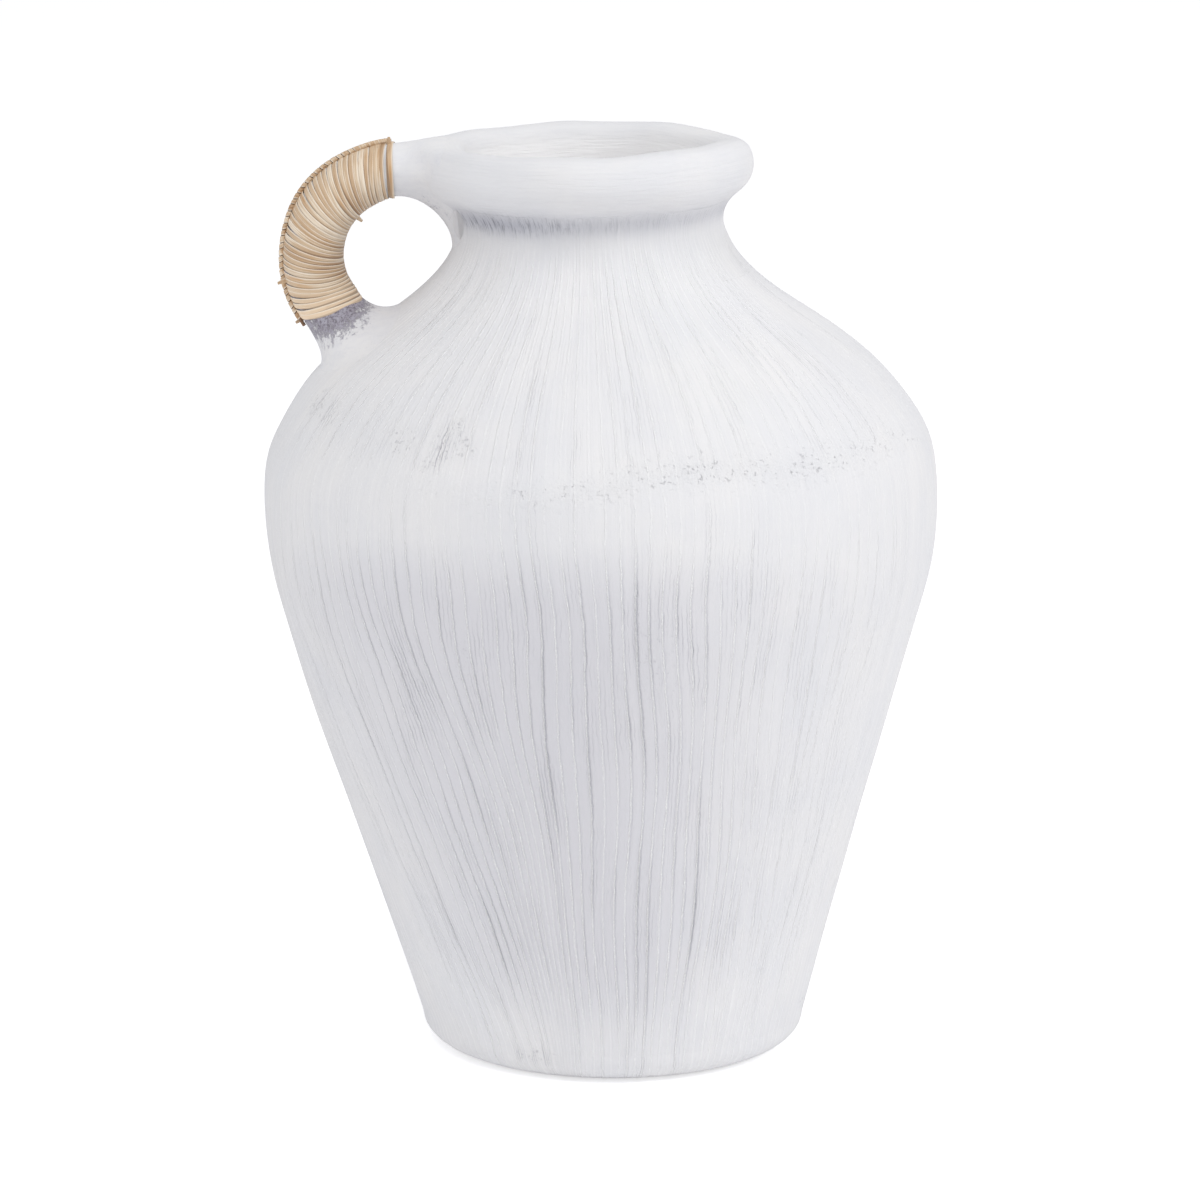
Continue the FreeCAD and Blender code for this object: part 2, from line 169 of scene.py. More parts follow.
def hand_made(turn, height):
    """How far the surface stands out of true, in millimetres: slow waves of the hand, and the places where
    the potter's vessel is fuller or flatter than a turned one."""
    waves = (
        0.45 * np.sin(2 * turn + height / 60)
        + 0.3 * np.sin(5 * turn - height / 37 + 1)
        + 0.22 * np.sin(9 * turn + height / 21 + 2)
        + 0.14 * np.sin(17 * turn - height / 14)
    )
    left = np.cos(turn + np.pi / 2)
    under_leg = 2.6 * np.clip(left, 0, 1) ** 6 * swell(height, 312, 20)
    left_wall = -1.1 * np.clip(left, 0, 1) ** 2 * swell(height, 215, 40)
    return waves * ease((height - 2) / 14) + under_leg + left_wall


def outline_radius(height):
    return smooth_curve(outline_heights, outline_radii, height)


def hollow_radius(height):
    return smooth_curve(hollow_heights, hollow_radii, height)


def rows_at(heights, radius_at, outwards):
    """Rows of an outline at some heights: radius, height, and the normal, square to the outline's slope."""
    slope = radius_at(heights + 0.5) - radius_at(heights - 0.5)
    size = outwards * np.hypot(1, slope)
    return np.stack([radius_at(heights), heights, 1 / size, -slope / size])


def vessel_grid(rows, relief, combed):
    """Points round the vessel, rows by columns.

    A point is (R sin a, -R cos a, Z), a being its column's angle from the front with the comb's warp, and
    (R, Z) the row's place moved out along the outline's normal by the row's share of the relief. The comb's
    marks are its force, its reach, and the pitch of its strokes in millimetres.
    """
    radius, height, normal_r, normal_z = rows
    turn = columns[None, :] + groove_warp(columns[None, :], height[:, None])
    crowding = np.gradient(turn, axis=1) / np.gradient(columns)[None, :]
    reach = comb_reach(height) * combed[:, None]
    force = stroke_force(height) * reach * np.clip(crowding * 1.25 - 0.15, 0.12, 1)
    lines = groove_depth * np.tile(stroke_relief, groove_count) * force
    flats = flat_heights[groove_of_column] * np.tile(stroke_flat, groove_count) * force
    out = (lines + flats + hand_made(turn, height[:, None])) * relief[:, None]
    r = radius[:, None] + normal_r[:, None] * out
    z = height[:, None] + normal_z[:, None] * out
    points = lean_over(np.stack([r * np.sin(turn), -r * np.cos(turn), z], -1))
    pitch = crowding * radius[:, None] * 2 * np.pi / groove_count
    return points, turn, {"groove": np.clip(force, 0, 1.2), "pitch": pitch, "reach": reach}


def mesh_of(name, points, wrap_rows=True, wrap_columns=True, marks=None, sharp=50):
    """A mesh over a grid of points, rows by columns, wrapped either way, in a new object at the origin.

    The quad (r, c) joins the points (r, c), (r, c + 1), (r + 1, c + 1) and (r + 1, c). An end that isn't
    wrapped is closed by one face. The marks are values for each point, for the finish to read. Edges that
    bend by more than the sharp angle, in degrees, stay sharp.
    """
    rows, count = points.shape[:2]
    r = np.arange(rows if wrap_rows else rows - 1)[:, None]
    c = np.arange(count if wrap_columns else count - 1)[None, :]
    below, right = (r + 1) % rows, (c + 1) % count
    quads = np.stack([r * count + c, r * count + right, below * count + right, below * count + c], -1)
    faces = quads.reshape(-1, 4)
    loops, totals = faces.ravel(), np.full(len(faces), 4)
    if not wrap_rows:
        first = np.arange(count)[::-1]
        loops = np.r_[loops, first, first[::-1] + (rows - 1) * count]
        totals = np.r_[totals, count, count]
    mesh = bpy.data.meshes.new(name)
    mesh.vertices.add(rows * count)
    mesh.vertices.foreach_set("co", (points * MM).astype(np.float32).ravel())
    mesh.loops.add(len(loops))
    mesh.loops.foreach_set("vertex_index", loops.astype(np.int32))
    mesh.polygons.add(len(totals))
    mesh.polygons.foreach_set("loop_start", (np.cumsum(totals) - totals).astype(np.int32))
    mesh.polygons.foreach_set("use_smooth", np.ones(len(totals), bool))
    mesh.update(calc_edges=True)
    mesh.validate()
    mesh.set_sharp_from_angle(angle=np.radians(sharp))
    for mark, value in (marks or {}).items():
        kind, field = ("FLOAT_VECTOR", "vector") if value.ndim == 3 else ("FLOAT", "value")
        attribute = mesh.attributes.new(mark, kind, "POINT")
        attribute.data.foreach_set(field, value.astype(np.float32).ravel())
    piece = bpy.data.objects.new(name, mesh)
    bpy.context.scene.collection.objects.link(piece)
    return piece


# Scuffs and pits in the whitewash: angle from the front in degrees, height, reach round and up, and force.
scuffs = [
    (-39, 297, 9, 7, 0.8), (-31, 289, 6, 6, 0.5), (-28, 300, 7, 9, 0.9), (-24, 296, 5, 5, 0.6),
    (-70, 303, 12, 5, 0.9), (-61, 300, 9, 4, 0.6), (-24, 12, 9, 4, 1.0), (72, 25, 5, 4, 1.0),
    (32, 275, 8, 4, 0.5), (17, 280, 9, 4, 0.25), (-13, 279, 8, 4, 0.5), (3, 280, 8, 3, 0.4),
    (-36, 190, 10, 34, 0.42), (-24, 200, 9, 30, 0.36), (10, 205, 22, 30, 0.34), (-13, 150, 9, 26, 0.3),
    (43, 139, 9, 26, 0.3), (31, 90, 8, 24, 0.34), (53, 208, 12, 22, 0.26), (-50, 110, 12, 30, 0.28),
    (120, 290, 14, 9, 0.7), (165, 283, 16, 6, 0.6), (-150, 292, 13, 7, 0.7), (140, 190, 20, 40, 0.35),
    (-160, 170, 24, 46, 0.35), (100, 120, 12, 30, 0.3), (-120, 60, 14, 16, 0.4), (175, 14, 30, 5, 0.8),
]


def scuff_marks(turn, height):
    """The scuffs' force at each point: each is exp(-(round / reach)^2 - (up / reach)^2), added up."""
    total = np.zeros(np.broadcast(turn, height).shape)
    for angle, middle, reach_round, reach_up, force in scuffs:
        away = np.angle(np.exp(1j * (turn - np.radians(angle)))) * outline_radius(np.array([middle]))
        total += force * np.exp(-((away / reach_round) ** 2) - ((height - middle) / reach_up) ** 2)
    return total


def vessel_marks(turn, height, lengths, comb, outside):
    """What the whitewash reads at each point: its lay, and how strong each kind of mark is there.

    The lay is its place on a drum: (D cos c, D sin c, length), c being its column's angle and the length that
    up the outline.
    """
    drum = 110.0
    column = columns[None, :] + 0 * turn
    lay = np.stack([drum * np.cos(column), drum * np.sin(column), lengths[:, None] + 0 * turn], -1)
    h, outside = height[:, None], outside[:, None]
    seam = swell(h, 281 + 3 * np.sin(3 * turn) + 2 * np.sin(7 * turn), 6.5)
    # Under the rim: painted shade, and the band where slashes cut the wash.
    under_rim_shade_and_slash = swell(h, 380, 5.5) * (0.5 + 0.5 * swell(turn, -0.8, 0.55))
    return {
        **comb,
        "lay": lay,
        "scuff": scuff_marks(turn, h) * outside,
        "crumbs": (seam * (0.55 + 0.45 * np.sin(turn * 2.3 + 0.5)) + 0.35 * swell(h, 4, 6)) * outside,
        "slash": under_rim_shade_and_slash * outside,
        # The inside: how much painted light lightens it against its shade.
        "inside": 1 - outside + 0 * turn,
    }


class Tone:
    """A socket of a finish's nodes. Arithmetic on it adds Math nodes."""

    def __init__(self, finish, socket):
        self.finish, self.socket = finish, socket

    def math(self, operation, *values, clamp=False):
        settings = {"operation": operation, "use_clamp": clamp}
        return self.finish.node("ShaderNodeMath", settings, dict(enumerate(values)))

    def __add__(self, other):
        return self.math("ADD", self, other)

    def __sub__(self, other):
        return self.math("SUBTRACT", self, other)

    def __mul__(self, other):
        return self.math("MULTIPLY", self, other)

    def __truediv__(self, other):
        return self.math("DIVIDE", self, other)

    def __pow__(self, other):
        return self.math("POWER", self, other)

    def size(self):
        return self.math("ABSOLUTE", self)

    def fraction(self):
        return self.math("FRACT", self)

    def span(self, low, high):
        """0 at low and 1 at high, held between."""
        return self.math("MULTIPLY", self - low, 1 / (high - low), clamp=True)


class Finish:
    """A material made of nodes. Most end in one Principled shader."""

    def __init__(self, name):
        self.material = bpy.data.materials.new(name)
        self.material.use_nodes = True
        self.tree = self.material.node_tree
        self.tree.nodes.clear()

    def node(self, kind, settings=None, sockets=None, output=0):
        """A new node of a kind, with its settings made first and then its sockets, and one of its outputs."""
        new = self.tree.nodes.new(kind)
        for setting, value in (settings or {}).items():
            if setting == "stops":
                while len(new.color_ramp.elements) < len(value):
                    new.color_ramp.elements.new(0.5)
                for stop, (place, colour) in zip(new.color_ramp.elements, value):
                    stop.position, stop.color = place, (*colour, 1)
            else:
                setattr(new, setting, value)
        for socket, value in (sockets or {}).items():
            if isinstance(value, Tone):
                self.tree.links.new(value.socket, new.inputs[socket])
            else:
                if isinstance(value, tuple) and new.inputs[socket].type == "RGBA":
                    value = (*value, 1)
                new.inputs[socket].default_value = value
        return Tone(self, new.outputs[output]) if len(new.outputs) else None

    def mark(self, name, output="Fac"):
        return self.node("ShaderNodeAttribute", {"attribute_name": name}, output=output)

    def place(self):
        return self.node("ShaderNodeTexCoord", output="Object")

    def scaled(self, vector, scale):
        settings = {"operation": "MULTIPLY"}
        return self.node("ShaderNodeVectorMath", settings, {0: vector, 1: scale})

    def noise(self, vector, scale=1.0, detail=3.0, rough=0.5):
        sockets = {"Vector": vector, "Scale": scale, "Detail": detail, "Roughness": rough}
        return self.node("ShaderNodeTexNoise", sockets=sockets)

    def blend(self, share, a, b):
        """The colour a, and so much of b."""
        return self.node("ShaderNodeMix", {"data_type": "RGBA"}, {0: share, 6: a, 7: b}, output=2)

    def done(self, sockets):
        shader = self.node("ShaderNodeBsdfPrincipled", sockets=sockets)
        self.node("ShaderNodeOutputMaterial", sockets={"Surface": shader})
        return self.material


def linear(red, green, blue):
    """A colour as the shader wants it, from 0 to 255 as a picture holds it."""
    share = np.array([red, green, blue]) / 255
    return tuple(float(v) for v in np.where(share <= 0.04045, share / 12.92, ((share + 0.055) / 1.055) ** 2.4))


def whitewash(name, strokes_up, strokes_round):
    """Lime whitewash on earthenware: a warm white in the light and cool in the shade, streaked by the brush.

    Each of the comb's strokes is a dark line, the shade of its far wall painted along with wash rubbed out of
    it, with a white burr on its left whose lit side is a painted highlight, and finer scratches run between
    them. The wash is crumbly at the seam, leaves dark slashes under the rim, where the shade that falls there
    is painted as well, and lets the darker clay through at the scuffs. Inside the mouth it is painted lighter,
    as painted light against the shade there.
    """
    finish = Finish(name)
    lay = finish.mark("lay", "Vector")
    place = finish.place()
    marks = ("groove", "pitch", "reach", "scuff", "crumbs", "slash", "inside")
    groove, pitch, reach, scuff, crumbs, slash, inside = (finish.mark(mark) for mark in marks)
    brush = finish.scaled(lay, (strokes_round, strokes_round, strokes_up))
    fine, broad = finish.noise(brush, 0.75, 3), finish.noise(brush, 0.2, 4)
    lay_x, lay_y = (finish.node("ShaderNodeSeparateXYZ", sockets={0: lay}, output=axis) for axis in (0, 1))
    stroke = lay_y.math("ARCTAN2", lay_y, lay_x) * (groove_count / (2 * np.pi))
    wobble = finish.noise(finish.scaled(lay, (0.2, 0.2, 0.12)), 1, 4, 0.6) - 0.5
    patches = finish.noise(finish.scaled(lay, (0.11, 0.11, 0.02)), 1, 3, 0.6)
    # How far a point lies across its stroke, in millimetres, and across one of three scratches to a stroke.
    across = ((stroke + wobble * 0.3).fraction() - 0.5) * pitch
    scratch = ((stroke * 3 + wobble * 1.6).fraction() - 0.5) * pitch / 3
    scratch = scratch.size().span(0.34, 0.0) * patches.span(0.47, 0.6) * groove.span(0.02, 0.3)
    # Painted shade on the far wall of each groove, with wash rubbed out there, and the burr on its left.
    groove_shade_and_rub = (across - 0.22).size().span(0.52, 0.06) * groove.span(0.05, 0.8) * reach.span(0.25, 0.75)
    burr_and_highlight = (across + 0.42).size().span(0.6, 0.15) * groove.span(0.0, 0.35)
    grit = across.size().span(1.5, 0.4) * groove.span(0.4, 1.0)
    cloud = finish.noise(place, 24, 4, 0.6)
    coarse = finish.noise(place, 380, 4, 0.65)
    grain = finish.noise(place, 900, 3, 0.6)
    crumb = finish.noise(place, 2200, 2, 0.5)
    # The colours, one over another: the wash and its streaks, the comb's lines with their painted shade and
    # painted highlight, the slashes and the painted shade under the rim, the painted light inside, and the
    # specks.
    white = finish.blend(cloud.span(0.35, 0.65), linear(234, 233, 233), linear(229, 229, 231))
    streak = fine.span(0.42, 0.6) * 0.55 + broad.span(0.4, 0.62) * 0.45
    white = finish.blend(streak * 0.12, white, linear(212, 213, 220))
    white = finish.blend(reach.span(0.4, 1.0) * 0.75, white, linear(213, 212, 217))
    white = finish.blend(scratch * (scuff.span(0.1, 0.6) * 0.6 + 0.16), white, linear(178, 179, 190))
    flakes = (grain * 0.5 + crumb * 0.5).span(0.44, 0.58)
    # The burr's lit side, a painted highlight.
    white = finish.blend(burr_and_highlight * (flakes * 0.5 + 0.5), white, linear(255, 255, 255))
    # The groove's painted shade.
    white = finish.blend(groove_shade_and_rub * 0.36, white, linear(154, 155, 168))
    # Painted shade under the rim.
    white = finish.blend(slash * 0.85, white, linear(177, 178, 188))
    # Painted light inside the mouth, against its shade.
    white = finish.blend(inside * 0.9, white, linear(253, 252, 252))
    cuts = finish.noise(finish.scaled(lay, (1.15, 1.15, 0.13)), 1, 2, 0.6).span(0.56, 0.64) * slash**2
    white = finish.blend(cuts * 0.62, white, linear(140, 142, 156))
    specks = (grain * 0.55 + coarse * 0.45 + scuff * 0.055).span(0.59, 0.67) * scuff.span(0.05, 0.5)
    white = finish.blend(specks * 0.3, white, linear(158, 156, 168))
    pits = (coarse * 0.6 + grain * 0.4).span(0.42, 0.34) * crumbs
    white = finish.blend(pits * 0.2, white, linear(170, 170, 182))
    height = streak * 0.3 + grain * 0.16 + crumb * 0.05 - specks * 0.5 - cuts * 0.9 - pits * 0.9
    height = height + crumbs * (coarse * 1.4 + grain * 0.8) - groove_shade_and_rub * 0.3 - scratch * (scuff * 0.6 + 0.3)
    height = height + burr_and_highlight * (flakes * 0.5 + 0.35) + grit * flakes * 0.5 + scuff * flakes * 0.12
    bump = finish.node("ShaderNodeBump", sockets={"Height": height, "Strength": 0.9, "Distance": 0.0005})
    return finish.done({"Base Color": white, "Roughness": 0.88, "Normal": bump})


def dress(piece, finish, slot, *nodes):
    """Puts the finish on a piece, which stands for the nodes and stays with the vessel."""
    piece.data.materials.append(finish)
    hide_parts(*nodes)
    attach(piece, "root")


def run_up(rows):
    """The length up the vessel's outline to the height of each row, and straight on past its ends."""
    past = 40.0
    heights = np.linspace(slab_top, outline_heights[-1], 300)
    run = np.r_[0, np.cumsum(np.hypot(np.diff(outline_radius(heights)), np.diff(heights)))]
    return np.interp(rows[1], np.r_[0, heights, heights[-1] + past], np.r_[-slab_top, run, run[-1] + past])


def heights_between(low, high, count):
    """Heights that stand close together at both ends: the middle ones even, the ends at 0.15 and 0.5."""
    share = np.r_[0.0, 0.15, 0.5, np.arange(1, count - 1), count - 1.5, count - 1.15, count - 1]
    return low + (high - low) * share / (count - 1)


def relief_for(outside):
    """How much of the hand's unevenness shows: all of it outside, and a quarter inside."""
    return 0.25 + 0.75 * outside


def vessel_piece(name, outside, inside):
    """A ring of the vessel as its own closed piece, with its marks."""
    rows = np.hstack([rows_at(outside, outline_radius, 1), rows_at(inside, hollow_radius, -1)])
    combed = np.r_[np.ones(len(outside)), np.zeros(len(inside))]
    points, turn, comb = vessel_grid(rows, relief_for(combed), combed)
    return mesh_of(name, points, marks=vessel_marks(turn, rows[1], run_up(rows), comb, combed))


combed_wash = whitewash("combed_whitewash", 0.018, 1.0)
wall_piece = vessel_piece(
    "combed_wall", heights_between(slab_top, seam_height, 58), np.linspace(seam_height, slab_top, 6)
)
dress(wall_piece, combed_wash, "whitewashed_clay", "lower_body")

# ---- The foot -------------------------------------------------------------------------------------------
# A flat slab of clay with its lower edge rubbed round by the board it dried on. The wall is luted to it, and
# the comb's strokes run down over its edge.

foot_heights = np.array([0.0, 0.25, 1.2, 2.8, 4.9, 7.2, 9.4, 11.4, 12.9, 13.6, 14.0])
face_radii = np.array([0.01, 30.0, 60.0, 70.0])


def foot_radius(height):
    return smooth_curve([-1, 0, 1.2, 4.6, 9, 14, 16], [66, 72, 76.5, 82.4, 85.6, 86.8, 87.1], height)


def foot_piece():
    """The slab's outline turned once round: the face from the middle out, the edge up, and the top back in."""
    edge = rows_at(foot_heights, foot_radius, 1)
    edge[2:, -1] = rows_at(foot_heights[-1:], outline_radius, 1)[2:, 0]
    level = 0 * face_radii
    under = np.stack([face_radii, level, level, level - 1])
    top = np.stack([face_radii[::-1], level + slab_top, level, level + 1])
    rows = np.hstack([under, edge, top])
    combed = np.r_[level, np.ones(len(foot_heights)), level]
    relief = np.r_[level, ease(foot_heights / 5), level]
    points, turn, comb = vessel_grid(rows, relief, combed)
    marks = vessel_marks(turn, rows[1], run_up(rows), comb, combed)
    return mesh_of("foot", points, wrap_rows=False, marks=marks)


dress(foot_piece(), combed_wash, "whitewashed_clay", "foot_slab")

# ---- The shoulder and the neck --------------------------------------------------------------------------
# The dome is luted on the wall at a rough, pitted seam, and drawn in to the neck. The same comb left pale
# ridges that fan out from the neck.

shoulder_piece = vessel_piece(
    "combed_shoulder", heights_between(seam_height, neck_joint, 26), np.linspace(neck_joint, seam_height, 9)
)
dress(shoulder_piece, combed_wash, "whitewashed_clay", "shoulder")

# ---- The rim --------------------------------------------------------------------------------------------
# A thick coil of clay, luted on the neck and smoothed round with wet fingers, so its brush strokes and its
# unevenness run round it. Its lip dips a little at the back on the right.

rim_knots = np.array([(63.6, 360.0), (59.8, 367.0), (59.0, neck_top)] + rim_outline)
rim_lengths = np.r_[0, np.cumsum(np.hypot(*np.diff(rim_knots, axis=0).T))]


def rim_curve(lengths):
    """The rim's outline, as radius and height, at lengths from its first point."""
    return smooth_curve(rim_lengths, rim_knots, lengths)


def rim_rows(lengths):
    """Rows of the rim at lengths along its outline: radius, height, and the normal."""
    step_r, step_z = (rim_curve(lengths + 0.2) - rim_curve(lengths - 0.2)).T
    size = np.hypot(step_r, step_z)
    return np.stack([*rim_curve(lengths).T, step_z / size, -step_r / size])


fine_lengths = np.linspace(0, rim_lengths[-1], 800)
fine_curve = rim_curve(fine_lengths)
lip_at = fine_lengths[np.argmax(fine_curve[:, 1])]
rising = fine_lengths < lip_at
joint_length = np.interp(rim_joint, fine_curve[rising, 1], fine_lengths[rising])
neck_length = np.interp(neck_top, fine_curve[rising, 1], fine_lengths[rising])


def lip_dip(points, turn, height):
    """The lip's own unevenness: lower by 3 mm behind on the right, higher by the handle, and a little wavy."""
    over = ease((height - 392) / 14)
    dip = 3.1 * swell(turn, 1.95, 0.38) - 1.7 * swell(turn, -1.75, 0.7) + 0.3 * np.sin(5 * turn + 1)
    dip = dip + 0.2 * np.sin(9 * turn)
    points[..., 2] -= over * dip
    return points


neck_outside = np.hstack([
    rows_at(neck_joint + np.array([0.0, 0.4, 1.3, 4.0, 7.5, 11.0, 14.5, 18.0]), outline_radius, 1),
    rim_rows(np.linspace(neck_length, joint_length, 8)),
])
neck_inside = rows_at(np.linspace(rim_joint, neck_joint, 9), hollow_radius, -1)
neck_rows = np.hstack([neck_outside, neck_inside])
neck_combed = np.r_[np.ones(neck_outside.shape[1]), np.zeros(neck_inside.shape[1])]
points, turn, comb = vessel_grid(neck_rows, relief_for(neck_combed), neck_combed)
neck_marks = vessel_marks(turn, neck_rows[1], run_up(neck_rows), comb, neck_combed)
dress(mesh_of("neck_collar", points, marks=neck_marks), combed_wash, "whitewashed_clay", "neck")

rim_wash = whitewash("brushed_whitewash", 1.1, 0.045)
rim_run = np.linspace(joint_length, rim_lengths[-1], 50)
outside_share = ease((lip_at - rim_run) / 12)
rim_grid = rim_rows(rim_run)
points, turn, comb = vessel_grid(rim_grid, relief_for(outside_share), 0 * rim_run)
points = lip_dip(points, turn, rim_grid[1][:, None])
rim_marks = vessel_marks(turn, rim_grid[1], rim_run, comb, outside_share)
# Painted light inside the mouth, fading in past the lip.
rim_marks["inside"] = ease((rim_run - lip_at - 9) / 9)[:, None] + 0 * turn
rim_piece = mesh_of("rim_coil", points, marks=rim_marks)
dress(rim_piece, rim_wash, "whitewashed_clay", "rim")

# ---- The handle -----------------------------------------------------------------------------------------
# A roll of clay bent in one bow from the rim to the shoulder. Both roots are faired into the vessel with
# soft clay. The whitewash has worn off the leg where the binding ends.

bend_middle = np.array([-86.6, 0.0, 362.5])
bend_radius = 36.3
bend_length = bend_radius * np.radians(120.4)
half_depth = 13.6
side = np.array([0.0, 1.0, 0.0])


def half_height(along):
    """Half the roll's height, which swells from the rim to the leg."""
    return 11.5 + 1.0 * ease((along - 2) / 36) + 0.6 * ease((along - 45) / 34)


def along_handle(along):
    """The roll's middle at lengths from the top of its bend, with its directions outwards and onwards.

    It is an arc between two straight runs. It rises a little where it nears the rim and swings out at the leg.
    """
    turn = np.clip(along, 0, bend_length) / bend_radius
    angle = np.pi / 2 + turn
    none = np.zeros_like(angle)
    out = np.stack([np.cos(angle), none, np.sin(angle)], -1)
    on = np.stack([-np.sin(angle), none, np.cos(angle)], -1)
    straight = (along - turn * bend_radius)[..., None]
    middle = bend_middle + bend_radius * out + straight * on
    middle = middle + (0.5 * ease((along - 10) / 30) + 1.0 * ease((along - 45) / 30))[..., None] * out
    middle[..., 2] += 1.2 * ease((18 - along) / 22)
    return middle, out, on


def lean_with_neck(points):
    """The points turned about the middle of the belly, as all that is luted on over the seam is."""
    x, z = points[..., 0], points[..., 2] - belly_height
    leaned = points.copy()
    leaned[..., 0] = x * np.cos(upper_lean) - z * np.sin(upper_lean)
    leaned[..., 2] = belly_height + x * np.sin(upper_lean) + z * np.cos(upper_lean)
    return leaned


ring = np.linspace(0, 2 * np.pi, 96, endpoint=False)


def roll_ring(along, more=0.0):
    """The roll's sections at lengths along it, a little larger than the clay where there is more.

    A section's point is middle + (h cos a) out - (d sin a) side, a being its angle from the outer side.
    """
    middle, out, on = along_handle(along)
    uneven = more + 0.25 * np.sin(3 * ring + along[:, None] / 9) + 0.15 * np.sin(5 * ring - along[:, None] / 5)
    across = ((half_height(along)[:, None] + uneven) * np.cos(ring))[..., None]
    deep = ((half_depth + uneven) * np.sin(ring))[..., None]
    return middle[:, None] + across * out[:, None] - deep * side


# The vessel's outside from the belly to the neck, and on over the lip by the rim's curve: radius and height.
up_belly = np.linspace(belly_height, 366.0, 400)
outer_line = np.concatenate([
    np.stack([outline_radius(up_belly), up_belly], -1), rim_curve(np.linspace(11.5, rim_lengths[-1], 300))
])
outer_run = np.r_[0, np.cumsum(np.hypot(*np.diff(outer_line, axis=0).T))]
lip_run = outer_run[np.argmax(outer_line[:, 1])]


def run_at(height):
    """The length up the outline from the belly to a height under the lip."""
    rising = outer_run < lip_run
    return np.interp(height, outer_line[rising, 1], outer_run[rising])


def outline_place(turn, length, proud):
    """A point on the vessel's outside, with the hand's waves and the lip's dip, at an angle and a length
    along the outline, up from the belly. It may stand a little proud, or under the surface."""
    way = np.gradient(outer_line, outer_run, axis=0)
    r, z, way_r, way_z = (np.interp(length, outer_run, v) for v in np.hstack([outer_line, way]).T)
    out = hand_made(turn, z) * relief_for(ease((lip_run - length) / 12)) + proud
    r, z = r + way_z * out, z - way_r * out
    return lip_dip(np.stack([r * np.sin(turn), -r * np.cos(turn), z], -1), turn, z)


def fairing(name, start, start_way, land, worn_at):
    """Clay that leaves the roll along its own direction and lands flush on the vessel.

    Each line is the cubic from its start to its landing with those directions at its ends. The landing is
    an oval on the vessel, and the direction there is out from the oval's middle over the surface. How worn
    it is follows its share of the way.
    """
    u = np.r_[0.0, 0.02, np.linspace(0.07, 1, 26)][:, None, None]
    on_land, land_way, under = land
    points = (
        (2 * u**3 - 3 * u**2 + 1) * start
        + (u**3 - 2 * u**2 + u) * start_way
        + (3 * u**2 - 2 * u**3) * on_land
        + (u**3 - u**2) * land_way
    )
    points = np.concatenate([points, under[None]])
    share = np.r_[u[:, 0, 0], 1.0]
    worn = worn_at(share[:, None]) + np.zeros(points.shape[:2])
    return mesh_of(name, lean_with_neck(points), wrap_rows=False, marks={"worn": worn})


def landing(middle_length, reach_up, reach_down, half_turn_top, half_turn_bottom):
    """An oval on the vessel under the handle, how it grows, and the same oval within the clay.

    Its point at the angle a of the ring lies at length + reach cos a along the outline and half turn sin a
    round it, for scale 1 and a little more.
    """
    more, sunk, deep = 0.06, -0.12, -3.0

    def oval(scale, proud):
        up = np.cos(ring)
        reach = np.where(up > 0, reach_up, reach_down)
        half = half_turn_bottom + (half_turn_top - half_turn_bottom) * (up + 1) / 2
        turn = -np.pi / 2 + scale * half * np.sin(ring)
        return outline_place(turn, middle_length + scale * reach * up, proud)

    return oval(1.0, sunk), (oval(1.0 + more, sunk) - oval(1.0, sunk)) / more, oval(1.0, deep)


def worn_whitewash():
    """The handle's whitewash, rubbed through to the grey-purple clay where the worn mark is strong: the
    flakes that are left have ragged edges, and stand proud."""
    finish = Finish("worn_whitewash")
    place = finish.place()
    worn = finish.mark("worn")
    cloud = finish.noise(place, 40, 4, 0.6)
    ragged = finish.noise(finish.scaled(place, (1.0, 1.0, 0.6)), 360, 7, 0.78)
    grain = finish.noise(place, 1100, 4, 0.65)
    strokes = finish.noise(finish.scaled(place, (0.35, 1.0, 1.6)), 260, 3, 0.6)
    white = finish.blend(cloud.span(0.35, 0.65), linear(234, 233, 233), linear(228, 228, 231))
    white = finish.blend(strokes.span(0.45, 0.62) * 0.16, white, linear(212, 212, 219))
    bare = finish.blend(grain.span(0.4, 0.6), linear(98, 89, 100), linear(166, 161, 174))
    bare = finish.blend(ragged.span(0.5, 0.6) * 0.6, bare, linear(186, 184, 196))
    gone = (ragged * 0.7 + grain * 0.3 + worn * 0.3).span(0.6, 0.68) * worn.span(0.02, 0.1)
    thin = (ragged * 0.6 + grain * 0.4 + worn * 0.34).span(0.52, 0.72)
    colour = finish.blend(thin * 0.25, white, linear(190, 189, 200))
    colour = finish.blend(gone * 0.92, colour, bare)
    height = strokes * 0.25 + grain * 0.2 - gone * 0.8
    bump = finish.node("ShaderNodeBump", sockets={"Height": height, "Strength": 0.8, "Distance": 0.0003})
    return finish.done({"Base Color": colour, "Roughness": 0.88, "Normal": bump})


handle_wash = worn_whitewash()
roll_rows = np.linspace(-6, bend_length + 11, 60)
roll = lean_with_neck(roll_ring(roll_rows))
worn_leg = ease((roll_rows - 36) / 16)[:, None] * (0.75 + 0.25 * np.sin(ring)[None, :])
roll_piece = mesh_of("handle_clay", roll, wrap_rows=False, marks={"worn": worn_leg})
dress(roll_piece, handle_wash, "whitewashed_clay", "handle_roll")

fairing_rise = 0.2
arm_at = np.array([-0.4])
arm_way = -along_handle(arm_at)[2][:, None] * 44.0 + np.array([0.0, 0.0, 3.0])
neck_run = run_at(360.5)
arm_half = (lip_run - neck_run) / 2
arm_land, arm_land_way, arm_under = landing(
    (lip_run + neck_run) / 2 + 5, arm_half - 1, arm_half + 5, 0.66, 0.42
)
upper_fairing = fairing(
    "upper_fairing", roll_ring(arm_at, fairing_rise), arm_way, (arm_land, arm_land_way, arm_under),
    lambda share: 0.24 * swell(share, 0.4, 0.3) * np.clip(-np.cos(ring), 0, 1) ** 2,
)
dress(upper_fairing, handle_wash, "whitewashed_clay", "upper_handle_collar")

